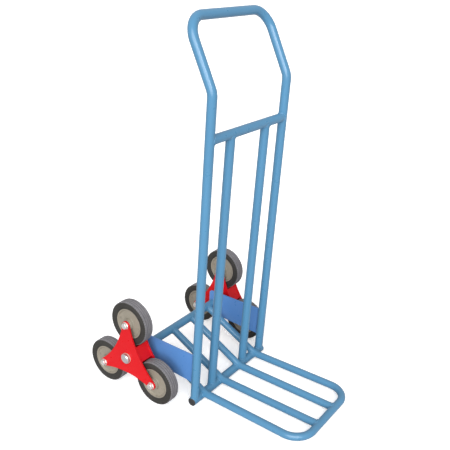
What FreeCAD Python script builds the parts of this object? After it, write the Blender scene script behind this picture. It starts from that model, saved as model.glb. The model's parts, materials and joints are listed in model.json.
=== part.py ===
"""Stair climbing trolley: a welded steel tube hand truck on two three-wheel stars.

Millimetres, +Z up.  The origin is on the floor, midway between the feet, under
the base cross tube.  The toe points along -Y, the stars stand behind at +Y, and
"left" is +X, which is the left hand of a person standing behind the handle.
Every piece that exists twice is drawn once on the left and mirrored in X = 0.
"""
import FreeCAD, Part
import math
import os

from FreeCAD import Vector

# ---------------------------------------------------------------- driving sizes
UPRIGHT_X = 190.0           # centre line of each outer upright, from the middle
INNER_UPRIGHT_X = 90.5
INNER_FOOT_Y = 6.0          # the inner uprights stand a little behind the outer ones
FRAME_TUBE_R = 14.3         # all four uprights, both crossbars and the rear axle tube
FRAME_TUBE_WALL = 1.5
BAR_TUBE_R = 12.5           # toe loop and toe bars
BAR_TUBE_WALL = 1.5

BASE_Z = FRAME_TUBE_R       # the base cross tube lies on the floor
JOINT_STAND_OFF = 4.0       # a shaped tube end stops this far short of the other tube's axis
KINK_Y, KINK_Z = -46.0, 1035.0
HANDLE_Y, HANDLE_Z = 45.0, 1224.5
CROSSBAR_Z = 903.5
KINK_BEND_R = 50.0
HANDLE_BEND_R = 65.0

TOE_Z = 22.0                # centre line of the toe tubes
TOE_FRONT_Y = -388.0
TOE_LOOP_REAR_X = 149.3
TOE_LOOP_FRONT_X = 156.3    # the loop splays a little towards the front
TOE_BAR_X = 52.0
TOE_CORNER_R = 65.0
RAIL_FOOT_Y = -10.0         # where the toe turns up into the sloping rails
RAIL_BEND_R = 60.0

WHEEL_R = 76.0
ARM = 123.5                 # star centre to wheel centre
AXLE_Y = 213.5
AXLE_Z = WHEEL_R + ARM / 2  # two wheels of the star stand on the floor
AXLE_R = 10.0
AXLE_TUBE_R = FRAME_TUBE_R
AXLE_TUBE_BORE_R = 10.2
AXLE_TUBE_PROUD = 4.0       # the tube's end stands this far outside the side plate
AXLE_TAIL = 5.5             # axle end beyond the inner face of its circlip
THRUST_WASHER_T = 2.0
THRUST_WASHER_R = 18.0
CIRCLIP_T = 1.5
CIRCLIP_DEPTH = 0.8         # depth of its groove in the axle

PLATE_T = 4.0               # side plates
PLATE_TOP_Z = 186.0
PLATE_REAR_Z = 91.0         # lower edge at the rear
PLATE_FRONT_Z = 80.0        # lower edge at the upright
PLATE_REAR_Y = 232.0
PLATE_CORNER_R = 12.0

WHEEL_X = 253.5             # mid-plane of the wheels
STAR_GAP = 50.0             # clear gap between the two star plates
STAR_PLATE_T = 5.0
STAR_TIP_R = 14.5
STAR_WAIST_R = 58.0         # star centre to the middle of each hollow side
STAR_WEB_W = 52.0           # bridging plates between the two star plates, clear of the tyres
STAR_WEB_T = 4.0
STAR_WEB_INSET = 2.5        # how far inside the hollow side each one stands
STAR_HUB_R = 20.0
STAR_BUSH_R = 13.0          # outside of the pressed-in hub bushes
BUSH_FLANGE_T = 2.0
HUB_PROUD = 1.0             # the hub tube stands proud of both plates

TYRE_W = 38.0
TYRE_SHOULDER_R = 4.0
RIM_R = 52.0
RIM_W = 34.0
WHEEL_HUB_W = 46.0
WHEEL_HUB_R = 18.0
WHEEL_BUSH_R = 10.0
WHEEL_SLEEVE_R = 8.0
RIM_GROOVE_W = 12.0         # keyway round the rim, which holds the tyre
RIM_GROOVE_DEPTH = 3.0
RIM_EDGE = 1.0              # bevel on the rim's corners

BOLT_R = 6.0                # M12 wheel bolts
BOLT_HEAD_T = 7.5
BOLT_AF = 19.0              # across the flats of head and nut
BOLT_TAIL = 2.5             # thread left beyond the nut
BOLT_WASHER_R = 12.0
BOLT_WASHER_T = 2.5
NUT_T = 12.0

RUNNING_GAP = 0.05          # radial clearance of every plain bearing
HOLE_GAP = 0.1              # radial clearance of a bolt in its hole
END_GAP = 0.3               # axial play beside a turning part

WHEEL_ANGLES = {"top": 90.0, "front": 210.0, "rear": -30.0}  # from +Y towards +Z

# --------------------------------------------------- stations along the left axle
STAR_IN_X = WHEEL_X - STAR_GAP / 2          # inner faces of the two star plates
STAR_OUT_X = WHEEL_X + STAR_GAP / 2
HUB_IN_X = STAR_IN_X - STAR_PLATE_T - HUB_PROUD
HUB_OUT_X = STAR_OUT_X + STAR_PLATE_T + HUB_PROUD
AXLE_TUBE_END_X = UPRIGHT_X + PLATE_T / 2 + AXLE_TUBE_PROUD
IN_WASHER_X = HUB_IN_X - BUSH_FLANGE_T - END_GAP - THRUST_WASHER_T
OUT_WASHER_X = HUB_OUT_X + BUSH_FLANGE_T + END_GAP
CIRCLIP_X = OUT_WASHER_X + THRUST_WASHER_T
GROOVE_R = AXLE_R - CIRCLIP_DEPTH
AXLE_END_X = CIRCLIP_X + AXLE_TAIL

AXIS_X = Vector(1, 0, 0)
AXLE_CENTRE = Vector(0, AXLE_Y, AXLE_Z)

os.makedirs("parts", exist_ok=True)


def write(name, shape):
    """Save one named piece as its own file."""
    shape.exportStep("parts/" + name + ".step")


def mirrored(shape):
    """The right-hand twin of a left-hand piece."""
    return shape.mirror(Vector(0, 0, 0), AXIS_X)


def write_pair(name, left_shape):
    """A left-hand piece and its mirror image, as two files."""
    write(name + "_left", left_shape)
    write(name + "_right", mirrored(left_shape))


def group(shapes):
    """Several separate solids that share one name."""
    return Part.makeCompound(shapes)


# ------------------------------------------------------------------- basic shapes
def rod_x(radius, x0, x1, centre=AXLE_CENTRE):
    """A round bar along X through centre, from x0 to x1."""
    start = Vector(x0, centre.y, centre.z)
    return Part.makeCylinder(radius, x1 - x0, start, AXIS_X)


def ring_x(outer_r, inner_r, x0, x1, centre=AXLE_CENTRE):
    """A plain tube, washer or sleeve along X through centre."""
    return rod_x(outer_r, x0, x1, centre).cut(rod_x(inner_r, x0, x1, centre))


def turned_x(profile, centre):
    """A turned solid about an X axis through centre, from (x, radius) points."""
    points = [Vector(x, centre.y + r, centre.z) for x, r in profile]
    face = Part.Face(Part.makePolygon(points + points[:1]))
    return face.revolve(centre, AXIS_X, 360)


def hexagon_x(across_flats, x0, x1, centre):
    """A hexagonal bar along X, for bolt heads and nuts."""
    corner_r = across_flats / math.sqrt(3)
    middle = Vector(x0, centre.y, centre.z)
    points = []
    for i in range(7):
        angle = math.radians(60 * i)
        points.append(middle + Vector(0, corner_r * math.cos(angle), corner_r * math.sin(angle)))
    return Part.Face(Part.makePolygon(points)).extrude(Vector(x1 - x0, 0, 0))


def bent_path(points, radii):
    """A wire through points, with an arc of the given radius at each inner point."""
    edges = []
    start = points[0]
    for i in range(1, len(points) - 1):
        corner = points[i]
        back = (points[i - 1] - corner).normalize()
        ahead = (points[i + 1] - corner).normalize()
        half_turn = math.acos(back.dot(ahead)) / 2
        reach = radii[i - 1] / math.tan(half_turn)
        enter = corner + back * reach
        leave = corner + ahead * reach
        inward = (back + ahead).normalize()
        middle = corner + inward * (radii[i - 1] / math.sin(half_turn) - radii[i - 1])
        edges.append(Part.makeLine(start, enter))
        edges.append(Part.Arc(enter, middle, leave).toShape())
        start = leave
    edges.append(Part.makeLine(start, points[-1]))
    return Part.Wire(edges)


def swept_round(path, radius):
    """A solid round bar along a path."""
    first = path.OrderedEdges[0]
    origin = first.valueAt(first.FirstParameter)
    heading = first.tangentAt(first.FirstParameter)
    disc = Part.Face(Part.Wire([Part.makeCircle(radius, origin, heading)]))
    return path.makePipe(disc)


def straight(start, end, radius):
    """A solid round bar between two points."""
    along = end - start
    return Part.makeCylinder(radius, along.Length, start, along)


# ------------------------------------------------------------------ centre lines
def upright_y(z):
    """The uprights lean forward, from the base cross tube up to the kink."""
    return KINK_Y * (z - BASE_Z) / (KINK_Z - BASE_Z)


def frame_path():
    """Foot, kink, handle corner, and down the other side."""
    foot_z = BASE_Z + JOINT_STAND_OFF
    side = [Vector(UPRIGHT_X, upright_y(foot_z), foot_z),
            Vector(UPRIGHT_X, KINK_Y, KINK_Z),
            Vector(UPRIGHT_X, HANDLE_Y, HANDLE_Z)]
    other = [Vector(-p.x, p.y, p.z) for p in reversed(side)]
    return bent_path(side + other, [KINK_BEND_R, HANDLE_BEND_R, HANDLE_BEND_R, KINK_BEND_R])


def toe_loop_path():
    """Rail, toe side, front, toe side and rail: one bent tube."""
    side = [Vector(TOE_LOOP_REAR_X, AXLE_Y, AXLE_Z),
            Vector(TOE_LOOP_REAR_X, RAIL_FOOT_Y, TOE_Z),
            Vector(TOE_LOOP_FRONT_X, TOE_FRONT_Y, TOE_Z)]
    other = [Vector(-p.x, p.y, p.z) for p in reversed(side)]
    return bent_path(side + other, [RAIL_BEND_R, TOE_CORNER_R, TOE_CORNER_R, RAIL_BEND_R])


def toe_bar_path():
    """The inner toe bar and the rail behind it, on the left."""
    points = [Vector(TOE_BAR_X, AXLE_Y, AXLE_Z),
              Vector(TOE_BAR_X, RAIL_FOOT_Y, TOE_Z),
              Vector(TOE_BAR_X, TOE_FRONT_Y + JOINT_STAND_OFF, TOE_Z)]
    return bent_path(points, [RAIL_BEND_R])


def wheel_centre(angle):
    """Centre of the left wheel that stands at this angle on the star."""
    return star_point(WHEEL_X, ARM, angle)


# ------------------------------------------------------------- tubes of the frame
def hollow(path, radius, wall):
    """A tube along a path."""
    return swept_round(path, radius).cut(swept_round(path, radius - wall))


def base_end_x():
    """The base cross tube ends flush with the outside of the uprights."""
    return UPRIGHT_X + FRAME_TUBE_R


def base_solid():
    centre = Vector(0, 0, BASE_Z)
    return rod_x(FRAME_TUBE_R, -base_end_x(), base_end_x(), centre)


def base_cross_tube():
    """The bottom tube, saddled where the four toe tubes cross over it."""
    centre = Vector(0, 0, BASE_Z)
    bore = rod_x(FRAME_TUBE_R - FRAME_TUBE_WALL, -base_end_x(), base_end_x(), centre)
    tube = base_solid().cut(bore)
    bar = swept_round(toe_bar_path(), BAR_TUBE_R)
    return tube.cut([swept_round(toe_loop_path(), BAR_TUBE_R), bar, mirrored(bar)])


def frame_tube():
    """Uprights and handle in one bent tube, its feet shaped to sit on the base tube."""
    return hollow(frame_path(), FRAME_TUBE_R, FRAME_TUBE_WALL).cut(base_solid())


def upper_crossbar():
    """The bar below the handle, its ends shaped to fit the uprights."""
    centre = Vector(0, upright_y(CROSSBAR_Z), CROSSBAR_Z)
    end = UPRIGHT_X - JOINT_STAND_OFF
    tube = ring_x(FRAME_TUBE_R, FRAME_TUBE_R - FRAME_TUBE_WALL, -end, end, centre)
    return tube.cut(swept_round(frame_path(), FRAME_TUBE_R))


def inner_upright():
    """The left inner upright, between the base cross tube and the crossbar."""
    foot = Vector(INNER_UPRIGHT_X, INNER_FOOT_Y, BASE_Z)
    head = Vector(INNER_UPRIGHT_X, upright_y(CROSSBAR_Z), CROSSBAR_Z)
    stand_off = (head - foot).normalize() * JOINT_STAND_OFF
    start = foot + stand_off
    end = head - stand_off
    bore_r = FRAME_TUBE_R - FRAME_TUBE_WALL
    tube = straight(start, end, FRAME_TUBE_R).cut(straight(start, end, bore_r))
    crossbar = rod_x(FRAME_TUBE_R, -UPRIGHT_X, UPRIGHT_X, head)
    return tube.cut([base_solid(), crossbar])


def axle_tube_solid():
    return rod_x(AXLE_TUBE_R, -AXLE_TUBE_END_X, AXLE_TUBE_END_X)


def toe_loop_tube():
    """Toe outline and both outer rails, ending against the axle tube."""
    return hollow(toe_loop_path(), BAR_TUBE_R, BAR_TUBE_WALL).cut(axle_tube_solid())


def toe_bar_tube():
    """The left inner toe bar with its rail, between the loop's front and the axle tube."""
    front = rod_x(BAR_TUBE_R, -TOE_LOOP_REAR_X, TOE_LOOP_REAR_X, Vector(0, TOE_FRONT_Y, TOE_Z))
    return hollow(toe_bar_path(), BAR_TUBE_R, BAR_TUBE_WALL).cut([axle_tube_solid(), front])


def axle_tube():
    """The rear cross tube, which carries the axle."""
    return axle_tube_solid().cut(rod_x(AXLE_TUBE_BORE_R, -AXLE_TUBE_END_X, AXLE_TUBE_END_X))


def side_plate():
    """The left side plate, from the upright back past the axle tube."""
    inner_x = UPRIGHT_X - PLATE_T / 2
    corners = [(0, PLATE_FRONT_Z), (0, PLATE_TOP_Z),
               (PLATE_REAR_Y, PLATE_TOP_Z), (PLATE_REAR_Y, PLATE_REAR_Z)]
    points = [Vector(inner_x, y, z) for y, z in corners]
    plate = Part.Face(Part.makePolygon(points + points[:1])).extrude(Vector(PLATE_T, 0, 0))
    rear_edges = [e for e in plate.Edges
                  if all(abs(v.Y - PLATE_REAR_Y) < 0.01 for v in e.Vertexes)
                  and abs(e.Vertexes[0].X - e.Vertexes[-1].X) > 0.01]
    plate = plate.makeFillet(PLATE_CORNER_R, rear_edges)
    plate = plate.cut([swept_round(frame_path(), FRAME_TUBE_R), axle_tube_solid()])
    return max(plate.Solids, key=lambda solid: solid.Volume)


def base_end_plug():
    """The plastic plug in the left end of the base cross tube."""
    centre = Vector(0, 0, BASE_Z)
    end = base_end_x()
    bore_r = FRAME_TUBE_R - FRAME_TUBE_WALL
    flange_t = 2.0
    insert_length = 14.0
    round_off = 1.0
    profile = [(end - insert_length, 0), (end - insert_length, bore_r - round_off),
               (end - insert_length + round_off, bore_r), (end, bore_r), (end, FRAME_TUBE_R),
               (end + flange_t - round_off, FRAME_TUBE_R), (end + flange_t, FRAME_TUBE_R - round_off),
               (end + flange_t, 0)]
    return turned_x(profile, centre)


# --------------------------------------------------------------- axle and its ends
def star_axle():
    """The steel axle through both stars, grooved for a circlip at each end."""
    bevel = 1.0
    half = [(CIRCLIP_X, AXLE_R), (CIRCLIP_X, GROOVE_R), (CIRCLIP_X + CIRCLIP_T, GROOVE_R),
            (CIRCLIP_X + CIRCLIP_T, AXLE_R), (AXLE_END_X - bevel, AXLE_R), (AXLE_END_X, AXLE_R - bevel)]
    left_end = half + [(AXLE_END_X, 0)]
    right_end = [(-x, r) for x, r in reversed(left_end)]
    return turned_x(right_end + left_end, AXLE_CENTRE)


def axle_spacer():
    """The collar that holds the left star clear of the side plate."""
    return ring_x(AXLE_TUBE_R, AXLE_TUBE_BORE_R, AXLE_TUBE_END_X, IN_WASHER_X)


def thrust_washers():
    """The two washers beside the left star hub."""
    inner = ring_x(THRUST_WASHER_R, AXLE_TUBE_BORE_R, IN_WASHER_X, IN_WASHER_X + THRUST_WASHER_T)
    outer = ring_x(THRUST_WASHER_R, AXLE_TUBE_BORE_R, OUT_WASHER_X, OUT_WASHER_X + THRUST_WASHER_T)
    return [inner, outer]


def circlip():
    """An open spring ring in the axle's groove, with its gap at the bottom."""
    outer_r = AXLE_R + 3.0
    gap_w = 8.0
    ring = ring_x(outer_r, GROOVE_R, CIRCLIP_X, CIRCLIP_X + CIRCLIP_T)
    gap_corner = Vector(CIRCLIP_X, AXLE_Y - gap_w / 2, AXLE_Z - outer_r)
    return ring.cut(Part.makeBox(CIRCLIP_T, gap_w, outer_r, gap_corner))


def dome_arc(rim_x, rim_r, height):
    """Half the section of a dome that rises from (rim_x, rim_r) to the axle's line."""
    sphere_r = (rim_r ** 2 + height ** 2) / (2 * height)
    half_r = rim_r / 2
    half_rise = math.sqrt(sphere_r ** 2 - half_r ** 2) - (sphere_r - height)
    section = [(rim_x, rim_r), (rim_x + half_rise, half_r), (rim_x + height, 0)]
    return Part.Arc(*[AXLE_CENTRE + Vector(x, r, 0) for x, r in section]).toShape()


def hub_cap():
    """A pressed dome cap, whose inward flange grips the axle end outside the circlip."""
    wall = 1.0
    cap_r = 17.0
    dome_height = 6.0
    circlip_clearance = 0.5
    flange_x = CIRCLIP_X + CIRCLIP_T + circlip_clearance
    shoulder_x = AXLE_END_X - wall
    outer = dome_arc(shoulder_x, cap_r, dome_height)
    inner = dome_arc(shoulder_x, cap_r - wall, dome_height - wall)
    crown_line = [outer.Vertexes[-1].Point, inner.Vertexes[-1].Point]
    section = [(shoulder_x, cap_r - wall), (flange_x + wall, cap_r - wall), (flange_x + wall, AXLE_R),
               (flange_x, AXLE_R), (flange_x, cap_r), (shoulder_x, cap_r)]
    skirt = [AXLE_CENTRE + Vector(x, r, 0) for x, r in section]
    edges = [outer, inner, Part.makeLine(*crown_line)]
    edges += [Part.makeLine(a, b) for a, b in zip(skirt, skirt[1:])]
    face = Part.Face(Part.Wire(Part.__sortEdges__(edges)))
    return face.revolve(AXLE_CENTRE, AXIS_X, 360)


# -------------------------------------------------------------------- star pieces
def star_outline(x):
    """Three rounded tips joined by shallow hollow sides, as one closed wire at x."""
    tip_angles = [90, 210, 330]
    edges = []
    for i, tip_angle in enumerate(tip_angles):
        next_angle = tip_angles[(i + 1) % len(tip_angles)]
        edges.append(tip_arc(x, tip_angle))
        edges.append(hollow_side(x, tip_angle, next_angle))
    return Part.Wire(Part.__sortEdges__(edges))


def star_point(x, radius, angle):
    a = math.radians(angle)
    return Vector(x, AXLE_Y + radius * math.cos(a), AXLE_Z + radius * math.sin(a))


def tip_edge_angle():
    """How far round a tip from its arm the hollow side starts, so that the two arcs are tangent."""
    half_chord = ARM * math.sin(math.radians(60))
    sagitta = ARM * math.cos(math.radians(60)) + STAR_TIP_R - STAR_WAIST_R
    lean = 2 * math.degrees(math.atan2(sagitta, half_chord))
    return 60 + lean


def tip_arc(x, angle):
    centre = star_point(x, ARM, angle)
    points = []
    for turn in (-tip_edge_angle(), 0, tip_edge_angle()):
        a = math.radians(angle + turn)
        points.append(centre + Vector(0, STAR_TIP_R * math.cos(a), STAR_TIP_R * math.sin(a)))
    return Part.Arc(*points).toShape()


def hollow_side(x, angle, next_angle):
    """The shallow arc from one tip to the next, nearest the centre half way."""
    middle = star_point(x, STAR_WAIST_R, angle + 60)
    start = tip_arc(x, angle).Vertexes[-1].Point
    end = tip_arc(x, next_angle).Vertexes[0].Point
    return Part.Arc(start, middle, end).toShape()


def star_plate(x0):
    """One star plate, with its hub hole and its three bolt holes."""
    plate = Part.Face(star_outline(x0)).extrude(Vector(STAR_PLATE_T, 0, 0))
    holes = [rod_x(STAR_HUB_R, x0, x0 + STAR_PLATE_T)]
    for angle in WHEEL_ANGLES.values():
        holes.append(rod_x(BOLT_R + HOLE_GAP, x0, x0 + STAR_PLATE_T, wheel_centre(angle)))
    return plate.cut(holes)


def star_web(angle):
    """A flat plate across the gap, just inside the hollow side that faces this angle."""
    outer_r = STAR_WAIST_R - STAR_WEB_INSET
    corner = Vector(STAR_IN_X, AXLE_Y + outer_r - STAR_WEB_T, AXLE_Z - STAR_WEB_W / 2)
    web = Part.makeBox(STAR_GAP, STAR_WEB_T, STAR_WEB_W, corner)
    web.rotate(AXLE_CENTRE, AXIS_X, angle)
    return web


def star_hub_tube():
    return ring_x(STAR_HUB_R, STAR_BUSH_R, HUB_IN_X, HUB_OUT_X)


def star_hub_bushes():
    """Two flanged bushes, pressed into the ends of the hub tube."""
    length = 20.0
    flange_r = STAR_HUB_R - 2.0
    bore_r = AXLE_R + RUNNING_GAP
    inner = ring_x(STAR_BUSH_R, bore_r, HUB_IN_X, HUB_IN_X + length)
    inner = inner.fuse(ring_x(flange_r, bore_r, HUB_IN_X - BUSH_FLANGE_T, HUB_IN_X)).removeSplitter()
    outer = ring_x(STAR_BUSH_R, bore_r, HUB_OUT_X - length, HUB_OUT_X)
    outer = outer.fuse(ring_x(flange_r, bore_r, HUB_OUT_X, HUB_OUT_X + BUSH_FLANGE_T)).removeSplitter()
    return [inner, outer]


def wheel_bolt(angle):
    """A hexagon bolt with its head outside, its corners turned off at 45 degrees."""
    centre = wheel_centre(angle)
    seat_x = STAR_OUT_X + STAR_PLATE_T + BOLT_WASHER_T
    end_x = STAR_IN_X - STAR_PLATE_T - BOLT_WASHER_T - NUT_T - BOLT_TAIL
    crown_r = BOLT_AF / 2 - 0.5
    head = hexagon_x(BOLT_AF, seat_x, seat_x + BOLT_HEAD_T, centre)
    crown_cone = Part.makeCone(crown_r + BOLT_HEAD_T, crown_r, BOLT_HEAD_T,
                               Vector(seat_x, centre.y, centre.z), AXIS_X)
    shank = rod_x(BOLT_R, end_x, seat_x, centre)
    return head.common(crown_cone).fuse(shank).removeSplitter()


def wheel_nut(angle):
    """A locking nut on the inner side, with its round collar away from the plate."""
    centre = wheel_centre(angle)
    seat_x = STAR_IN_X - STAR_PLATE_T - BOLT_WASHER_T
    collar_t = 3.5
    collar_r = BOLT_AF / 2 - 1.0
    body = hexagon_x(BOLT_AF, seat_x - NUT_T + collar_t, seat_x, centre)
    collar = rod_x(collar_r, seat_x - NUT_T, seat_x - NUT_T + collar_t, centre)
    return body.fuse(collar).cut(rod_x(BOLT_R, seat_x - NUT_T, seat_x, centre)).removeSplitter()


def bolt_washers(angle):
    centre = wheel_centre(angle)
    outer_x = STAR_OUT_X + STAR_PLATE_T
    inner_x = STAR_IN_X - STAR_PLATE_T - BOLT_WASHER_T
    bore_r = BOLT_R + HOLE_GAP
    return [ring_x(BOLT_WASHER_R, bore_r, outer_x, outer_x + BOLT_WASHER_T, centre),
            ring_x(BOLT_WASHER_R, bore_r, inner_x, inner_x + BOLT_WASHER_T, centre)]


def wheel_sleeve(angle):
    """The hardened sleeve on each bolt, clamped between the plates, that a wheel turns on."""
    return ring_x(WHEEL_SLEEVE_R, BOLT_R + HOLE_GAP, STAR_IN_X, STAR_OUT_X, wheel_centre(angle))


# ------------------------------------------------------------------- wheel pieces
def tyre(angle):
    """A solid rubber tyre: rounded shoulders, three grooves, and a rib that keys into the rim."""
    centre = wheel_centre(angle)
    half = TYRE_W / 2
    shoulder = TYRE_SHOULDER_R
    groove_pitch = 8.0
    groove_w = 3.0
    groove_floor_w = 2.0
    groove_depth = 2.0
    bead_r = RIM_R + 3.0
    bead_x = RIM_W / 2 - RIM_EDGE
    key = RIM_GROOVE_W / 2

    def at(x, r):
        return Vector(WHEEL_X + x, centre.y + r, centre.z)

    bend = shoulder * (1 - math.sqrt(0.5))
    corners = [at(-half + shoulder, WHEEL_R)]
    for groove_x in (-groove_pitch, 0.0, groove_pitch):
        corners.append(at(groove_x - groove_w / 2, WHEEL_R))
        corners.append(at(groove_x - groove_floor_w / 2, WHEEL_R - groove_depth))
        corners.append(at(groove_x + groove_floor_w / 2, WHEEL_R - groove_depth))
        corners.append(at(groove_x + groove_w / 2, WHEEL_R))
    corners.append(at(half - shoulder, WHEEL_R))
    edges = [Part.makeLine(a, b) for a, b in zip(corners, corners[1:])]
    edges.append(Part.Arc(at(half - shoulder, WHEEL_R), at(half - bend, WHEEL_R - bend),
                          at(half, WHEEL_R - shoulder)).toShape())
    inner = [at(half, WHEEL_R - shoulder), at(half, bead_r), at(bead_x, RIM_R), at(key, RIM_R),
             at(key, RIM_R - RIM_GROOVE_DEPTH), at(-key, RIM_R - RIM_GROOVE_DEPTH), at(-key, RIM_R),
             at(-bead_x, RIM_R), at(-half, bead_r), at(-half, WHEEL_R - shoulder)]
    edges += [Part.makeLine(a, b) for a, b in zip(inner, inner[1:])]
    edges.append(Part.Arc(at(-half, WHEEL_R - shoulder), at(-half + bend, WHEEL_R - bend),
                          at(-half + shoulder, WHEEL_R)).toShape())
    face = Part.Face(Part.Wire(edges))
    return face.revolve(Vector(WHEEL_X, centre.y, centre.z), AXIS_X, 360)


def wheel_rim(angle):
    """The moulded wheel centre: rim, dished web and hub, bored for two bushes."""
    hub = WHEEL_HUB_W / 2
    rim = RIM_W / 2
    web_out = 12.0          # half thickness of the web at the rim
    web_in = 13.5           # and at the hub
    lip_r = RIM_R - 6.0
    bevel = 1.5             # on the hub's edge
    draft = 2.0             # slope of the moulded walls, measured along the radius
    key = RIM_GROOVE_W / 2
    half = [(hub, WHEEL_BUSH_R), (hub, WHEEL_HUB_R - bevel), (hub - bevel, WHEEL_HUB_R),
            (web_in, WHEEL_HUB_R + draft), (web_out, lip_r - draft), (rim, lip_r),
            (rim, RIM_R - RIM_EDGE), (rim - RIM_EDGE, RIM_R), (key, RIM_R),
            (key, RIM_R - RIM_GROOVE_DEPTH)]
    profile = half + [(-x, r) for x, r in reversed(half)]
    return turned_x([(WHEEL_X + x, r) for x, r in profile], wheel_centre(angle))


def wheel_bushes(angle):
    """Two flanged plain bushes in the wheel's hub, running on the sleeve."""
    centre = wheel_centre(angle)
    length = 16.0
    flange_t = 1.6
    flange_r = WHEEL_BUSH_R + 3.0
    bore_r = WHEEL_SLEEVE_R + RUNNING_GAP
    face = WHEEL_HUB_W / 2
    left = ring_x(WHEEL_BUSH_R, bore_r, WHEEL_X + face - length, WHEEL_X + face, centre)
    left = left.fuse(ring_x(flange_r, bore_r, WHEEL_X + face, WHEEL_X + face + flange_t, centre))
    right = ring_x(WHEEL_BUSH_R, bore_r, WHEEL_X - face, WHEEL_X - face + length, centre)
    right = right.fuse(ring_x(flange_r, bore_r, WHEEL_X - face - flange_t, WHEEL_X - face, centre))
    return [left.removeSplitter(), right.removeSplitter()]


# ------------------------------------------------------------------ write it all
def write_frame():
    write("main_frame_tube", frame_tube())
    write("upper_crossbar", upper_crossbar())
    write_pair("inner_upright", inner_upright())
    write("base_cross_tube", base_cross_tube())
    write("toe_loop_tube", toe_loop_tube())
    write_pair("toe_bar", toe_bar_tube())
    write("axle_tube", axle_tube())
    write_pair("side_plate", side_plate())
    write_pair("base_end_plug", base_end_plug())


def write_axle():
    write("star_axle", star_axle())
    write_pair("axle_spacer", axle_spacer())
    write_pair("thrust_washers", group(thrust_washers()))
    write_pair("axle_circlip", circlip())
    write_pair("hub_cap", hub_cap())


def write_stars():
    angles = list(WHEEL_ANGLES.values())
    write_pair("star_plate_outer", star_plate(STAR_OUT_X))
    write_pair("star_plate_inner", star_plate(STAR_IN_X - STAR_PLATE_T))
    write_pair("star_web_plates", group([star_web(a + 60) for a in angles]))
    write_pair("star_hub_tube", star_hub_tube())
    write_pair("star_hub_bushes", group(star_hub_bushes()))
    write_pair("wheel_bolts", group([wheel_bolt(a) for a in angles]))
    write_pair("wheel_nuts", group([wheel_nut(a) for a in angles]))
    write_pair("bolt_washers", group([w for a in angles for w in bolt_washers(a)]))
    write_pair("wheel_sleeves", group([wheel_sleeve(a) for a in angles]))


def write_wheels():
    for place, angle in WHEEL_ANGLES.items():
        write_pair("tyre_" + place, tyre(angle))
        write_pair("wheel_rim_" + place, wheel_rim(angle))
        write_pair("wheel_bushes_" + place, group(wheel_bushes(angle)))


write_frame()
write_axle()
write_stars()
write_wheels()
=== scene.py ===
"""Looks of the stair climbing trolley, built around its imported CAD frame.

Metres, +Z up, in the CAD's own frame: the toe points along -Y, the wheel stars stand
behind at +Y and the handle's left hand is +X.  The CAD gives every tube, plate and
fastener.  This script adds the weld beads, moulded tyres and wheel centres, bolt
threads and lock rings, gives every piece its material, and sets the light and camera.
"""
import json
import math
import random

import bmesh
import bpy
from mathutils import Matrix, Vector
from mathutils.bvhtree import BVHTree

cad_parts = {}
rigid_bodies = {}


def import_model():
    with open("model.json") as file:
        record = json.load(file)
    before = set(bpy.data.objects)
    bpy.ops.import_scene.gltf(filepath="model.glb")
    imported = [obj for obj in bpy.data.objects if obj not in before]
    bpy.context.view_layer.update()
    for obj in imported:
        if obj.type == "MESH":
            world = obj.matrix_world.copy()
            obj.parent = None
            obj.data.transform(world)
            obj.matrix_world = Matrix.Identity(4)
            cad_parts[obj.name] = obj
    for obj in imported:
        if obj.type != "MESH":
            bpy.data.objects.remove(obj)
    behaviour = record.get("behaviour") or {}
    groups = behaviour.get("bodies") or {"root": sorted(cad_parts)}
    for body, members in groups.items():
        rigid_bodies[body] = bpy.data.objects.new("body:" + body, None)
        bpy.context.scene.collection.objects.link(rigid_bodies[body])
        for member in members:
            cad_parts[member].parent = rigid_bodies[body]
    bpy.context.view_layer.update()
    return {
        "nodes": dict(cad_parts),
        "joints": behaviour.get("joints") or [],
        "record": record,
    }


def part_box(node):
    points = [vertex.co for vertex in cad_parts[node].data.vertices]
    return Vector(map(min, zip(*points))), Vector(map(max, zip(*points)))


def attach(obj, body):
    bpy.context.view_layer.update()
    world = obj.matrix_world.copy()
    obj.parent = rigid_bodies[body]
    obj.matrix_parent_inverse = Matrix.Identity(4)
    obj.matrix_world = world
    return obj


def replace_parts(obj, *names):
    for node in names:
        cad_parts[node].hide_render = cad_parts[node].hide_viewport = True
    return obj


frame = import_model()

MM = 0.001
SIDES = ("left", "right")
NODES = frame["nodes"]

TREAD_FROM_R = 73.0 * MM    # the rubber's colour turns from the dark wall to the tread's painted highlight between these radii
TREAD_FULL_R = 75.0 * MM


# ------------------------------------------------------------------ shader building
def add(tree, kind, inputs=None, **settings):
    """Add a node.  An input given as a socket is linked; any other value is set."""
    node = tree.nodes.new(kind)
    for key, value in settings.items():
        setattr(node, key, value)
    for key, value in (inputs or {}).items():
        if isinstance(value, bpy.types.NodeSocket):
            tree.links.new(value, node.inputs[key])
        else:
            node.inputs[key].default_value = value
    return node


def rgb(colour):
    """A colour with its alpha, as a socket wants it."""
    return (*colour, 1.0)


def place(tree, stretch=(1, 1, 1)):
    """A piece's own coordinates in metres, scaled along each axis."""
    coords = add(tree, "ShaderNodeTexCoord").outputs["Object"]
    return add(tree, "ShaderNodeMapping", {"Vector": coords, "Scale": stretch}).outputs["Vector"]


def noise(tree, vector, scale, detail=2.0, roughness=0.5):
    """Cloudy noise from 0 to 1, with about scale lumps to a metre."""
    return add(tree, "ShaderNodeTexNoise", {"Vector": vector, "Scale": scale, "Detail": detail,
                                            "Roughness": roughness}).outputs["Fac"]


def remap(tree, value, low, high, to_low=0.0, to_high=1.0):
    """Carry low..high over to to_low..to_high, clamped and eased at both ends."""
    spans = {"Value": value, "From Min": low, "From Max": high, "To Min": to_low, "To Max": to_high}
    return add(tree, "ShaderNodeMapRange", spans, interpolation_type="SMOOTHSTEP").outputs["Result"]


def maths(tree, operation, a, b=0.0):
    """One step of arithmetic on two values, of which b is left out where only one is used."""
    return add(tree, "ShaderNodeMath", {0: a, 1: b}, operation=operation).outputs[0]


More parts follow.
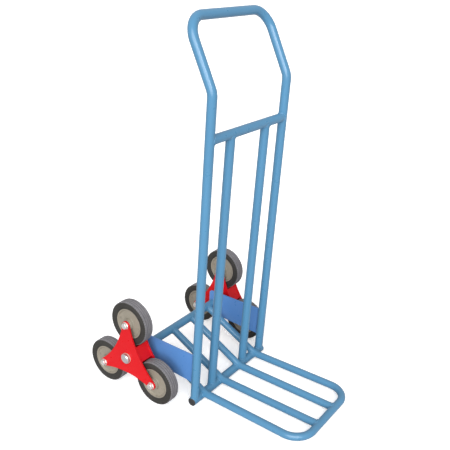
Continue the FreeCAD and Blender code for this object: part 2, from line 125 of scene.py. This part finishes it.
def blend_colour(tree, factor, a, b):
    """a where factor is 0, b where it is 1."""
    node = add(tree, "ShaderNodeMix", {0: factor}, data_type="RGBA")
    for index, colour in ((6, a), (7, b)):
        if isinstance(colour, bpy.types.NodeSocket):
            tree.links.new(colour, node.inputs[index])
        else:
            node.inputs[index].default_value = rgb(colour)
    return node.outputs[2]


def bump(tree, height, depth, normal=None):
    """Relief of the given depth in metres."""
    inputs = {"Height": height, "Strength": 1.0, "Distance": depth}
    if normal is not None:
        inputs["Normal"] = normal
    return add(tree, "ShaderNodeBump", inputs).outputs["Normal"]


def edge_mask(tree, radius):
    """1 along sharp edges, where a bevel would turn the surface well away, and 0 on open faces."""
    bevelled = add(tree, "ShaderNodeBevel", {"Radius": radius}, samples=6).outputs["Normal"]
    true = add(tree, "ShaderNodeNewGeometry").outputs["Normal"]
    node = add(tree, "ShaderNodeVectorMath", {0: bevelled, 1: true}, operation="DOT_PRODUCT")
    return remap(tree, node.outputs["Value"], 0.88, 0.72)


def facing_up(tree):
    """1 on surfaces that face the sky, 0 on walls and undersides."""
    normal = add(tree, "ShaderNodeNewGeometry").outputs["Normal"]
    height = add(tree, "ShaderNodeSeparateXYZ", {"Vector": normal}).outputs["Z"]
    return remap(tree, height, 0.55, 0.98)


def distance_from_axle(tree):
    """How far a point of a wheel piece lies from its own X axis."""
    coords = add(tree, "ShaderNodeTexCoord").outputs["Object"]
    flat = add(tree, "ShaderNodeVectorMath", {0: coords, 1: (0, 1, 1)}, operation="MULTIPLY")
    length = add(tree, "ShaderNodeVectorMath", {0: flat.outputs[0]}, operation="LENGTH")
    return length.outputs["Value"]


def finish_material(name, build):
    """A new material whose Principled inputs come from build(tree)."""
    material = bpy.data.materials.new(name)
    material.use_nodes = True
    tree = material.node_tree
    tree.nodes.clear()
    surface = add(tree, "ShaderNodeBsdfPrincipled", build(tree))
    output = add(tree, "ShaderNodeOutputMaterial")
    tree.links.new(surface.outputs[0], output.inputs["Surface"])
    return material


# ------------------------------------------------------------------------ materials
BARE_STEEL = (0.35, 0.36, 0.37)
PAINT_DUST = (0.62, 0.60, 0.56)
TYRE_DUST = (0.33, 0.33, 0.35)
CORNER_WEAR = 1.0 * MM      # how far from an edge the paint is worn
MOULD_RING_PITCH = 1.3 * MM  # fine rings on the tyres' walls


def enamel(name, colour, deep, gloss):
    """Sprayed gloss enamel: a slightly uneven coat, orange peel, dust on top and worn corners."""
    def build(tree):
        here = place(tree)
        coat = noise(tree, here, 3.0)
        shade = blend_colour(tree, remap(tree, coat, 0.35, 0.65), deep, colour)
        dust = maths(tree, "MULTIPLY", facing_up(tree), noise(tree, here, 35.0, 3.0))
        shade = blend_colour(tree, maths(tree, "MULTIPLY", dust, 0.02), shade, PAINT_DUST)
        chips = remap(tree, noise(tree, here, 210.0, 4.0), 0.53, 0.62)
        worn = maths(tree, "MULTIPLY", edge_mask(tree, CORNER_WEAR), chips)
        shade = blend_colour(tree, maths(tree, "MULTIPLY", worn, 0.30), shade, BARE_STEEL)
        rough = remap(tree, noise(tree, here, 60.0), 0.2, 0.8, 0.27, 0.31)
        rough = maths(tree, "ADD", rough, maths(tree, "MULTIPLY", dust, 0.05))
        peel = bump(tree, noise(tree, here, 260.0, 2.0), 0.015 * MM)
        return {"Base Color": shade, "Roughness": rough, "Normal": peel,
                "Specular IOR Level": gloss, "Coat Weight": 0.4 * gloss, "Coat Roughness": 0.10}
    return finish_material(name, build)


def rubber(name):
    """Black tyre rubber with its tread painted a lighter grey as a painted highlight, with fine mould rings
    on its walls.
    """
    def build(tree):
        here = place(tree)
        radius = distance_from_axle(tree)
        tread = remap(tree, radius, TREAD_FROM_R, TREAD_FULL_R)
        wall_shade = blend_colour(tree, noise(tree, here, 25.0, 4.0),
                                  (0.016, 0.015, 0.013), (0.036, 0.034, 0.030))
        # the tread's lighter purple-grey is a painted highlight of the light on the running surface, not a
        # colour of the rubber
        tread_painted_highlight = blend_colour(tree, noise(tree, here, 60.0, 5.0),
                                   (0.110, 0.104, 0.112), (0.200, 0.192, 0.204))
        shade = blend_colour(tree, tread, wall_shade, tread_painted_highlight)
        dust = maths(tree, "MULTIPLY", facing_up(tree), noise(tree, here, 90.0, 6.0))
        shade = blend_colour(tree, maths(tree, "MULTIPLY", dust, 0.35), shade, TYRE_DUST)
        rings = maths(tree, "SINE", maths(tree, "MULTIPLY", radius, 2 * math.pi / MOULD_RING_PITCH))
        wall = maths(tree, "SUBTRACT", 1.0, tread)
        relief = bump(tree, maths(tree, "MULTIPLY", rings, wall), 0.05 * MM)
        relief = bump(tree, noise(tree, here, 900.0, 3.0), 0.06 * MM, relief)
        rough = remap(tree, noise(tree, here, 45.0, 4.0), 0.3, 0.7, 0.50, 0.66)
        return {"Base Color": shade, "Roughness": rough, "Normal": relief, "Specular IOR Level": 0.35}
    return finish_material(name, build)


def moulded(name, colour, deep, rough=0.42, grime=0.35):
    """Moulded plastic: slight flow marks, a fine grain and dirt that settles in mottled patches."""
    def build(tree):
        here = place(tree)
        flow = noise(tree, place(tree, (1, 0.35, 0.35)), 45.0, 3.0)
        shade = blend_colour(tree, remap(tree, flow, 0.35, 0.65), deep, colour)
        dirt = remap(tree, noise(tree, here, 70.0, 6.0, 0.6), 0.52, 0.74, 0.0, grime)
        shade = blend_colour(tree, dirt, shade, tuple(0.45 * c for c in deep))
        roughness = remap(tree, noise(tree, here, 120.0, 3.0), 0.3, 0.7, rough - 0.07, rough + 0.10)
        grain = bump(tree, noise(tree, here, 1400.0, 2.0), 0.03 * MM)
        return {"Base Color": shade, "Roughness": roughness, "Normal": grain, "Specular IOR Level": 0.5}
    return finish_material(name, build)


def metal(name, colour, deep, rough, grain=(1, 1, 1), grain_depth=0.02):
    """Bare or plated steel, with tool marks drawn out along the axes where grain is small."""
    def build(tree):
        here = place(tree)
        cloud = noise(tree, here, 110.0, 4.0)
        shade = blend_colour(tree, remap(tree, cloud, 0.35, 0.65), deep, colour)
        lines = noise(tree, place(tree, grain), 1500.0, 2.0)
        roughness = remap(tree, cloud, 0.3, 0.7, rough, rough + 0.14)
        return {"Base Color": shade, "Metallic": 1.0, "Roughness": roughness,
                "Normal": bump(tree, lines, grain_depth * MM)}
    return finish_material(name, build)


MATERIALS = {
    "frame_blue": enamel("frame_enamel", (0.068, 0.208, 0.355), (0.064, 0.198, 0.340), 0.45),
    # the side plates wear the frame's own paint; this bluer, brighter copy of it is painted shading of the
    # flat plates
    "plate_blue": enamel("plate_enamel", (0.085, 0.216, 0.490), (0.080, 0.203, 0.465), 0.35),
    "star_red": enamel("star_enamel", (0.550, 0.005, 0.009), (0.515, 0.004, 0.008), 0.15),
    "tyre_rubber": rubber("tyre_rubber"),
    "rim_plastic": moulded("rim_plastic", (0.248, 0.222, 0.176), (0.215, 0.193, 0.152)),
    "zinc_steel": metal("zinc_plating", (0.88, 0.86, 0.84), (0.80, 0.78, 0.76), 0.34),
    "axle_steel": metal("turned_steel", (0.52, 0.52, 0.53), (0.42, 0.42, 0.43), 0.30, (6, 1, 1), 0.04),
    "cap_chrome": metal("cap_plating", (0.80, 0.79, 0.80), (0.70, 0.69, 0.70), 0.12, (1, 1, 1), 0.01),
    "plug_plastic": moulded("plug_plastic", (0.022, 0.022, 0.024), (0.014, 0.014, 0.015), 0.48, 0.2),
    "bush_nylon": moulded("bush_nylon", (0.70, 0.67, 0.56), (0.60, 0.57, 0.47), 0.40, 0.25),
}


def paint(obj, slot):
    """Give obj the material of a record slot, and nothing else."""
    obj.data.materials.clear()
    obj.data.materials.append(MATERIALS[slot])


def paint_cad_nodes():
    for entry in frame["record"]["subparts"]:
        paint(NODES[entry["node"]], entry["material_slot"])


# -------------------------------------------------------------------- mesh building
def new_piece(name, verts, faces, body, slot, centre=(0, 0, 0)):
    """A closed mesh that rides on a body.  Its points are given from its own centre."""
    mesh = bpy.data.meshes.new(name)
    mesh.from_pydata([tuple(v) for v in verts], [], faces)
    shape = bmesh.new()
    shape.from_mesh(mesh)
    bmesh.ops.recalc_face_normals(shape, faces=shape.faces)
    shape.to_mesh(mesh)
    shape.free()
    mesh.polygons.foreach_set("use_smooth", [True] * len(mesh.polygons))
    piece = bpy.data.objects.new(name, mesh)
    bpy.context.scene.collection.objects.link(piece)
    piece.location = centre
    paint(piece, slot)
    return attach(piece, body)


def rounded(corners, steps=4):
    """An open outline through (x, r, radius) corners, with an arc at each one."""
    points = []
    for i, (x, r, radius) in enumerate(corners):
        corner = Vector((x, r))
        if radius == 0 or i in (0, len(corners) - 1):
            points.append(corner)
            continue
        back = (Vector(corners[i - 1][:2]) - corner).normalized()
        ahead = (Vector(corners[i + 1][:2]) - corner).normalized()
        half_turn = back.angle(ahead) / 2
        centre = corner + (back + ahead).normalized() * (radius / math.sin(half_turn))
        enter = (corner + back * (radius / math.tan(half_turn)) - centre).normalized()
        leave = (corner + ahead * (radius / math.tan(half_turn)) - centre).normalized()
        for step in range(steps + 1):
            points.append(centre + enter.slerp(leave, step / steps) * radius)
    return points


def mirrored_profile(half):
    """A symmetric closed section from its +x half, given from the bore outwards."""
    return half + [Vector((-p.x, p.y)) for p in reversed(half)]


def turned(profile, turns):
    """Verts and faces of a closed section turned about X.

    turns lists (angle, sink): sink(point), if given, lowers a profile point at that angle."""
    verts = []
    for angle, sink in turns:
        for point in profile:
            r = point.y - (sink(point) if sink else 0.0)
            verts.append((point.x, r * math.cos(angle), r * math.sin(angle)))
    return verts, grid_faces(len(turns), len(profile))


def grid_faces(rows, columns):
    """Quads over a grid of points that closes on itself both ways."""
    faces = []
    for i in range(rows):
        for j in range(columns):
            next_i, next_j = (i + 1) % rows, (j + 1) % columns
            faces.append((i * columns + j, next_i * columns + j,
                          next_i * columns + next_j, i * columns + next_j))
    return faces


def even_turns(count):
    return [(2 * math.pi * i / count, None) for i in range(count)]


# ------------------------------------------------------------------------ weld beads
SAME_POINT = 0.001 * MM     # mesh points closer than this are one
SEAM_REACH = 0.4 * MM       # a shaped end lies this close to its neighbour's mesh
SEAM_FACING = -0.7          # and faces it at least this squarely, as a cosine
SHORTEST_SEAM = 20 * MM
SEAM_SMOOTHING = 3          # passes
RIPPLE = 2.4 * MM           # length of one weld ripple
RIPPLE_SIZES = (0.92, 1.06)  # smallest and largest, against the bead's radius
RIPPLE_DIP = 0.16           # how far the bead narrows between two ripples
RIPPLE_LAG = 0.25           # how far a ripple bows back along the seam
RINGS_PER_RIPPLE = 5
FEWEST_RIPPLES = 8
BEAD_SIDES = 10
TUBE_BEAD = 2.6 * MM        # bead radii
PLATE_BEAD = 2.2 * MM
STAR_BEAD = 1.8 * MM


def welded_faces(node, neighbour):
    """A copy of a CAD mesh, and its faces that lie against the neighbour."""
    mesh = bmesh.new()
    mesh.from_mesh(NODES[node].data)
    bmesh.ops.remove_doubles(mesh, verts=mesh.verts, dist=SAME_POINT)
    mesh.normal_update()
    other = bmesh.new()
    other.from_mesh(NODES[neighbour].data)
    tree = BVHTree.FromBMesh(other)
    faces = set()
    for face in mesh.faces:
        _, normal, _, gap = tree.find_nearest(face.calc_center_median())
        if gap < SEAM_REACH and face.normal.dot(normal) < SEAM_FACING:
            faces.add(face)
    other.free()
    return mesh, faces


def seams(node, neighbour, both_faces=False):
    """The closed lines where a CAD piece's shaped edge meets its neighbour.

    A tube's end has an outer and an inner line, and only the outer one is welded.
    A plate is welded on both its faces."""
    mesh, faces = welded_faces(node, neighbour)
    follows = {}
    for face in faces:
        for loop in face.loops:
            if sum(f in faces for f in loop.edge.link_faces) == 1:
                follows[loop.vert] = loop.link_loop_next.vert
    lines = []
    while follows:
        vert = next(iter(follows))
        line = []
        while vert in follows:
            line.append(vert.co.copy())
            vert = follows.pop(vert)
        lines.append(line)
    mesh.free()
    lines = [line for line in lines if line_length(line) > SHORTEST_SEAM]
    lines.sort(key=line_length)
    return lines if both_faces else lines[len(lines) // 2:]


def line_length(line):
    return sum((b - a).length for a, b in zip(line, line[1:] + line[:1]))


def even_line(line, count):
    """The same closed line as count evenly spaced points, smoothed a little."""
    step = line_length(line) / count
    points = []
    travelled = 0.0
    for a, b in zip(line, line[1:] + line[:1]):
        span = (b - a).length
        while len(points) < count and len(points) * step <= travelled + span and span > 0:
            points.append(a.lerp(b, (len(points) * step - travelled) / span))
        travelled += span
    for _ in range(SEAM_SMOOTHING):
        points = [(points[i - 1] + p * 2 + points[(i + 1) % len(points)]) / 4
                  for i, p in enumerate(points)]
    return points


def bead_points(line, radius, rng):
    """Rings of points round a seam: overlapping ripples, each a little different."""
    ripples = max(FEWEST_RIPPLES, round(line_length(line) / RIPPLE))
    points = even_line(line, ripples * RINGS_PER_RIPPLE)
    middle = sum(points, Vector()) / len(points)
    sizes = [rng.uniform(*RIPPLE_SIZES) for _ in range(ripples)]
    verts = []
    for i, point in enumerate(points):
        along = (points[(i + 1) % len(points)] - points[i - 1]).normalized()
        outward = point - middle
        outward = (outward - along * outward.dot(along)).normalized()
        sideways = along.cross(outward)
        step = i % RINGS_PER_RIPPLE / (RINGS_PER_RIPPLE - 1)
        crest = 1 - RIPPLE_DIP + RIPPLE_DIP * math.sin(math.pi * step)
        size = radius * crest * sizes[i // RINGS_PER_RIPPLE]
        for side in range(BEAD_SIDES):
            angle = 2 * math.pi * side / BEAD_SIDES
            lag = along * (RIPPLE_LAG * size * math.cos(2 * angle))
            round_seam = outward * math.cos(angle) + sideways * math.sin(angle)
            verts.append(point + round_seam * size - lag)
    return verts, len(points)


def weld(name, body, slot, lines, radius):
    """One piece that holds a bead along each of the lines."""
    rng = random.Random(name)
    verts, faces = [], []
    for line in lines:
        ring_verts, rings = bead_points(line, radius, rng)
        first = len(verts)
        verts += ring_verts
        faces += [tuple(first + i for i in face) for face in grid_faces(rings, BEAD_SIDES)]
    return new_piece(name, verts, faces, body, slot)


def weld_tubes(name, *joints):
    """One piece of beads for tube joints, each given as (shaped node, its neighbour)."""
    lines = []
    for node, neighbour in joints:
        lines += seams(node, neighbour)
    weld(name, "frame", "frame_blue", lines, TUBE_BEAD)


def weld_frame():
    weld_tubes("weld_crossbar_ends", ("upper_crossbar", "main_frame_tube"))
    weld_tubes("weld_upright_feet", ("main_frame_tube", "base_cross_tube"))
    weld_tubes("weld_toe_loop_crossings", ("base_cross_tube", "toe_loop_tube"))
    weld_tubes("weld_toe_loop_rails", ("toe_loop_tube", "axle_tube"))
    for side in SIDES:
        upright, bar, plate = "inner_upright_" + side, "toe_bar_" + side, "side_plate_" + side
        weld_tubes("weld_" + upright, (upright, "upper_crossbar"), (upright, "base_cross_tube"))
        weld_tubes("weld_" + bar, (bar, "toe_loop_tube"), (bar, "axle_tube"), ("base_cross_tube", bar))
        edges = seams(plate, "main_frame_tube", True) + seams(plate, "axle_tube", True)
        weld("weld_" + plate, "frame", "plate_blue", edges, PLATE_BEAD)


def weld_stars():
    for side in SIDES:
        lines = []
        for plate in ("star_plate_outer_" + side, "star_plate_inner_" + side):
            lines += seams(plate, "star_hub_tube_" + side, True)
            lines += seams("star_web_plates_" + side, plate, True)
        weld("weld_star_" + side, "star_" + side, "star_red", lines, STAR_BEAD)


# ---------------------------------------------------------------------------- wheels
def wheel_sizes():
    """Radii and half widths of one tyre and rim, measured from the CAD."""
    tyre_low, tyre_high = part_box("tyre_top_left")
    rim_low, rim_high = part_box("wheel_rim_top_left")
    bush_low, bush_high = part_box("wheel_bushes_top_left")
    return {"tyre_r": (tyre_high.z - tyre_low.z) / 2, "tyre_half": (tyre_high.x - tyre_low.x) / 2,
            "rim_r": (rim_high.z - rim_low.z) / 2, "hub_half": (rim_high.x - rim_low.x) / 2,
            "bush_flange_r": (bush_high.z - bush_low.z) / 2}


WHEEL_ARC_STEPS = 5         # mesh steps in each rounded corner of a wheel's section

# One tyre wall, from the rim out over its raised band to the shoulder: how far in from the
# tyre's side, how far out from the rim, and the corner's radius, in millimetres.
TYRE_WALL = ((3.0, 0.0, 0.0), (1.6, 0.6, 0.6), (0.9, 5.0, 1.0), (0.0, 6.2, 1.0),
             (0.0, 14.0, 0.7), (0.9, 15.0, 0.7))
SHOULDER_IN = 0.9 * MM      # the shoulder stands this far in from the band
SHOULDER_R = 4.0 * MM
GROOVE_PITCH = 8.0 * MM     # three grooves run round the tread
GROOVE_HALF_W = 1.5 * MM
GROOVE_FLOOR_HALF_W = 0.9 * MM
GROOVE_DEPTH = 2.0 * MM
GROOVE_EDGE_R = 0.4 * MM
TREAD_BLOCKS = 60           # short cuts across each shoulder
CUT_SPAN = (0.36, 0.62)     # where a cut lies within its block's share of the turn
CUT_SLOPE = 0.03            # share of the turn over which its ends run out
CUT_DEPTH = 1.3 * MM
CUT_REACH = 6.0 * MM        # how far in from the tyre's side a cut runs


def tyre_corners(half, tyre_r, rim_r):
    """The section of one side of a tyre as (x, r, radius) corners, from rim to middle."""
    corners = [(half - inset * MM, rim_r + out * MM, radius * MM) for inset, out, radius in TYRE_WALL]
    corners.append((half - SHOULDER_IN, tyre_r, SHOULDER_R))
    floor_r = tyre_r - GROOVE_DEPTH
    corners += [(GROOVE_PITCH + GROOVE_HALF_W, tyre_r, GROOVE_EDGE_R),
                (GROOVE_PITCH + GROOVE_FLOOR_HALF_W, floor_r, GROOVE_EDGE_R),
                (GROOVE_PITCH - GROOVE_FLOOR_HALF_W, floor_r, GROOVE_EDGE_R),
                (GROOVE_PITCH - GROOVE_HALF_W, tyre_r, GROOVE_EDGE_R)]
    return corners + [(GROOVE_HALF_W, tyre_r, GROOVE_EDGE_R),
                      (GROOVE_FLOOR_HALF_W, floor_r, GROOVE_EDGE_R), (0.0, floor_r, 0)]


def tyre_piece(name, body, centre, sizes):
    """A solid tyre: three running grooves, and short cuts across both shoulders."""
    half, tyre_r, rim_r = sizes["tyre_half"], sizes["tyre_r"], sizes["rim_r"]
    profile = mirrored_profile(rounded(tyre_corners(half, tyre_r, rim_r), WHEEL_ARC_STEPS))[:-1]

    def cut(point):
        on_shoulder = abs(point.x) > half - CUT_REACH and point.y > tyre_r - SHOULDER_R
        return CUT_DEPTH if on_shoulder else 0.0

    start, end = CUT_SPAN
    stations = ((0.0, None), (start - CUT_SLOPE, None), (start, cut), (end, cut), (end + CUT_SLOPE, None))
    pitch = 2 * math.pi / TREAD_BLOCKS
    turns = []
    for block in range(TREAD_BLOCKS):
        turns += [((block + share) * pitch, sink) for share, sink in stations]
    verts, faces = turned(profile, turns)
    return new_piece(name, verts, faces, body, "tyre_rubber", centre)


HUB_R = 18.0 * MM
HUB_DRAFT = 2.0 * MM        # the hub is this much wider at its foot
HUB_EDGE_R = 1.6 * MM
BORE_EDGE = 1.0 * MM        # depth of the hub's bore edge
WEB_HALF_AT_HUB = 13.5 * MM
WEB_HALF_AT_LIP = 12.0 * MM
WEB_CORNER_R = 3.0 * MM
LIP_INSET = 2.0 * MM        # the rim's lip stands this far inside the tyre's side
LIP_W = 4.5 * MM
LIP_DRAFT = 2.5 * MM
LIP_EDGE_R = 1.3 * MM
SEAT_DEPTH = 4.0 * MM       # how far the lip reaches in under the tyre
BUSH_FLANGE_LIP = 3.0 * MM  # the bush's flange is this much wider than its barrel
RIM_TURNS = 120             # mesh steps round a wheel centre


def rim_piece(name, body, centre, sizes):
    """The moulded wheel centre: lipped rim, shallow dished web and a hub with soft corners."""
    rim_r, hub = sizes["rim_r"], sizes["hub_half"]
    lip = sizes["tyre_half"] - LIP_INSET
    bore_r = sizes["bush_flange_r"] - BUSH_FLANGE_LIP
    corners = [(hub - BORE_EDGE, bore_r, 0), (hub, bore_r, 0.4 * BORE_EDGE), (hub, HUB_R, HUB_EDGE_R),
               (WEB_HALF_AT_HUB, HUB_R + HUB_DRAFT, WEB_CORNER_R),
               (WEB_HALF_AT_LIP, rim_r - LIP_W - LIP_DRAFT, WEB_CORNER_R),
               (lip, rim_r - LIP_W, LIP_EDGE_R), (lip, rim_r, LIP_EDGE_R), (lip - SEAT_DEPTH, rim_r, 0)]
    profile = mirrored_profile(rounded(corners, WHEEL_ARC_STEPS))
    verts, faces = turned(profile, even_turns(RIM_TURNS))
    return new_piece(name, verts, faces, body, "rim_plastic", centre)


def build_wheels():
    sizes = wheel_sizes()
    for joint in frame["joints"]:
        body = joint["child"]
        if not body.startswith("wheel_"):
            continue
        where = body[len("wheel_"):]
        centre = Vector(joint["pos_m"])
        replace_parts(tyre_piece("moulded_tyre_" + where, body, centre, sizes), "tyre_" + where)
        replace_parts(rim_piece("moulded_rim_" + where, body, centre, sizes), "wheel_rim_" + where)


# ------------------------------------------------------------------------- fasteners
def bolt_tails():
    """The threaded ends beyond the locking nuts, with the nuts' nylon rings."""
    for side in SIDES:
        away = 1 if side == "left" else -1
        bolt_low, bolt_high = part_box("wheel_bolts_" + side)
        nut_low, nut_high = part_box("wheel_nuts_" + side)
        tail_x = bolt_low.x if away > 0 else bolt_high.x
        nut_x = nut_low.x if away > 0 else nut_high.x
        threads, rings = ([], []), ([], [])
        for joint in frame["joints"]:
            if joint["parent"] == "star_" + side:
                centre = Vector(joint["pos_m"])
                add_part(threads, thread(tail_x, nut_x, centre))
                add_part(rings, lock_ring(nut_x, away, centre))
        new_piece("bolt_threads_" + side, *threads, "star_" + side, "zinc_steel")
        new_piece("nut_lock_rings_" + side, *rings, "star_" + side, "bush_nylon")


def add_part(whole, part):
    """Append a part's verts and faces to a whole's."""
    first = len(whole[0])
    whole[0].extend(part[0])
    whole[1].extend(tuple(first + i for i in face) for face in part[1])


THREAD_PITCH = 1.75 * MM    # M12
THREAD_ROOT_R = 5.7 * MM
THREAD_CREST_R = 6.35 * MM
THREAD_HALF_W = 0.36 * THREAD_PITCH
STEPS_PER_TURN = 36
FADE_STEPS = 9              # the ridge rises from nothing over this many steps


def thread(x0, x1, centre):
    """A helical ridge round a bolt's end from x0 to x1."""
    count = int(abs(x1 - x0) / THREAD_PITCH * STEPS_PER_TURN)
    verts = []
    for i in range(count + 1):
        angle = 2 * math.pi * i / STEPS_PER_TURN
        x = x0 + (x1 - x0) * i / count
        fade = min(1.0, i / FADE_STEPS, (count - i) / FADE_STEPS)
        crest_r = THREAD_ROOT_R + (THREAD_CREST_R - THREAD_ROOT_R) * fade
        ridge = ((-THREAD_HALF_W, THREAD_ROOT_R), (0.0, crest_r), (THREAD_HALF_W, THREAD_ROOT_R))
        for offset, r in ridge:
            verts.append((x + offset, centre.y + r * math.cos(angle), centre.z + r * math.sin(angle)))
    faces = []
    for i in range(count):
        for j in range(3):
            k = (j + 1) % 3
            faces.append((3 * i + j, 3 * i + 3 + j, 3 * i + 3 + k, 3 * i + k))
    faces += [(0, 1, 2), (3 * count + 2, 3 * count + 1, 3 * count)]
    return verts, faces


RING_INNER_R = 6.1 * MM
RING_OUTER_R = 7.6 * MM
RING_SUNK = 1.0 * MM        # the ring starts this deep inside the nut
RING_PROUD = 0.4 * MM
RING_EDGE_R = 0.3 * MM
RING_TURNS = 48


def lock_ring(nut_x, away, centre):
    """The nylon ring in a locking nut's collar, a touch proud of its end."""
    sunk_x = nut_x + away * RING_SUNK
    proud_x = nut_x - away * RING_PROUD
    corners = [(sunk_x, RING_INNER_R, 0), (proud_x, RING_INNER_R, RING_EDGE_R),
               (proud_x, RING_OUTER_R, RING_EDGE_R), (sunk_x, RING_OUTER_R, 0)]
    verts, faces = turned(rounded(corners), even_turns(RING_TURNS))
    return [(x, y + centre.y, z + centre.z) for x, y, z in verts], faces


# -------------------------------------------------------------- floor, light, camera
FLOOR_HALF_W = 30.0
FLOOR_DROP = 0.2 * MM       # the floor lies this far below the wheels
FLOOR_LIFT = 0.38           # brightness added to the floor, seen by the camera only
ROOM_STRENGTH = 0.61        # even light from the studio's white walls
SUN_FROM = (-0.80, -0.45, 0.42)     # the broad main light stands to the trolley's right and in front
SUN_STRENGTH = 3.9
SUN_SPREAD = 60.0           # degrees
PANEL_PLACE = (-1.7, -2.4, 2.6)     # a smaller panel in front, which gives the tubes their highlights
PANEL_AIM = (0, 0, 0.8)
PANEL_SIZE = 0.7
PANEL_POWER = 14.0


def seen_by_camera(tree):
    """1 for what the camera sees itself, 0 for light that reaches it by way of the trolley."""
    return add(tree, "ShaderNodeLightPath").outputs["Is Camera Ray"]


def build_floor():
    """A broad pale floor, a little brighter to the camera than in the light it throws back."""
    mesh = bpy.data.meshes.new("floor")
    reach = FLOOR_HALF_W
    corners = [(-reach, -reach, 0), (reach, -reach, 0), (reach, reach, 0), (-reach, reach, 0)]
    mesh.from_pydata(corners, [], [(0, 1, 2, 3)])
    floor = bpy.data.objects.new("floor", mesh)
    bpy.context.scene.collection.objects.link(floor)
    floor.location.z = -FLOOR_DROP

    def build(tree):
        grain = noise(tree, place(tree), 3.0, 4.0)
        pale = blend_colour(tree, grain, (0.93, 0.93, 0.93), (0.96, 0.96, 0.96))
        camera = seen_by_camera(tree)
        return {"Base Color": blend_colour(tree, camera, (0.55, 0.55, 0.56), pale), "Roughness": 0.8,
                "Specular IOR Level": 0.1, "Emission Color": (1, 1, 1, 1),
                "Emission Strength": maths(tree, "MULTIPLY", camera, FLOOR_LIFT)}

    floor.data.materials.append(finish_material("studio_floor", build))


def build_light():
    """A white backdrop to the camera, an even room light, a broad lamp and a small front panel."""
    world = bpy.data.worlds.new("studio")
    bpy.context.scene.world = world
    world.use_nodes = True
    tree = world.node_tree
    tree.nodes.clear()
    room_light = add(tree, "ShaderNodeBackground", {"Color": (1, 1, 1, 1), "Strength": ROOM_STRENGTH})
    backdrop = add(tree, "ShaderNodeBackground", {"Color": (1, 1, 1, 1), "Strength": 1.0})
    mix = add(tree, "ShaderNodeMixShader", {0: seen_by_camera(tree), 1: room_light.outputs[0],
                                            2: backdrop.outputs[0]})
    output = add(tree, "ShaderNodeOutputWorld")
    tree.links.new(mix.outputs[0], output.inputs["Surface"])

    panel = bpy.data.lights.new("front_panel", "AREA")
    panel.shape = "DISK"
    panel.size = PANEL_SIZE
    panel.energy = PANEL_POWER
    front = bpy.data.objects.new("front_panel", panel)
    bpy.context.scene.collection.objects.link(front)
    front.location = PANEL_PLACE
    from_aim = Vector(PANEL_PLACE) - Vector(PANEL_AIM)
    front.rotation_euler = from_aim.to_track_quat("Z", "Y").to_euler()

    lamp = bpy.data.lights.new("main_light", "SUN")
    lamp.energy = SUN_STRENGTH
    lamp.angle = math.radians(SUN_SPREAD)
    sun = bpy.data.objects.new("main_light", lamp)
    bpy.context.scene.collection.objects.link(sun)
    sun.rotation_euler = Vector(SUN_FROM).to_track_quat("Z", "Y").to_euler()
    bpy.context.scene.view_settings.view_transform = "Standard"


CAMERA_PLACE = (-1.5727, -1.0894, 1.3917)
CAMERA_AZIMUTH = -54.432    # degrees; 0 looks along +Y
CAMERA_ELEVATION = 23.006
CAMERA_ROLL = 1.833
CAMERA_LENS = 52.18         # millimetres, on a 36 mm sensor


def build_camera():
    turn, rise, roll = (math.radians(a) for a in (CAMERA_AZIMUTH, CAMERA_ELEVATION, CAMERA_ROLL))
    back = Vector((math.sin(turn) * math.cos(rise), -math.cos(turn) * math.cos(rise), math.sin(rise)))
    right = Vector((math.cos(turn), math.sin(turn), 0))
    up = back.cross(right)
    right, up = (right * math.cos(roll) + up * math.sin(roll), up * math.cos(roll) - right * math.sin(roll))
    data = bpy.data.cameras.new("camera")
    data.lens = CAMERA_LENS
    data.sensor_width = 36.0
    camera = bpy.data.objects.new("camera", data)
    bpy.context.scene.collection.objects.link(camera)
    camera.matrix_world = Matrix.Translation(CAMERA_PLACE) @ Matrix((right, up, back)).transposed().to_4x4()
    bpy.context.scene.camera = camera


paint_cad_nodes()
weld_frame()
weld_stars()
build_wheels()
bolt_tails()
build_floor()
build_light()
build_camera()
